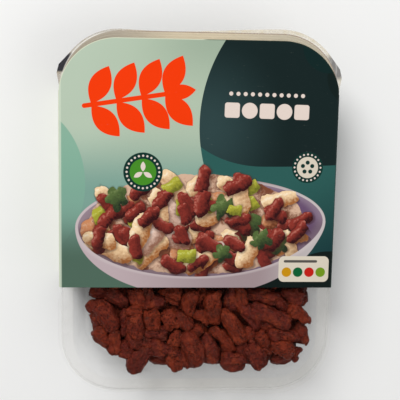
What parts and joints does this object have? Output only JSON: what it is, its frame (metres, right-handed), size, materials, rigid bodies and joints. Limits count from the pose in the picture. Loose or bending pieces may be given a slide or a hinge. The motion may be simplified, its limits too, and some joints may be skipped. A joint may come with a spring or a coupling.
{
  "type": "pack of vegan bacon pieces",
  "caption": "Clear tray of bacon-style pieces, sealed with clear film and held in a printed card sleeve.",
  "frame": {"origin": "middle of the pack's outline seen from the front, on the surface that the pack lies on", "axes": "+X across the pack, +Y towards the end that the sleeve covers, +Z out of the printed front"},
  "size_m": [0.1469, 0.1956, 0.0356],
  "materials": {
    "card": "satin",
    "clear_tray": "gloss",
    "clear_film": "gloss",
    "bacon": "matte"
  },
  "bodies": {
    "root": {"sleeve": "card", "tray": "clear_tray", "lid_film": "clear_film", "bacon_pieces": "bacon"}
  },
  "joints": []
}
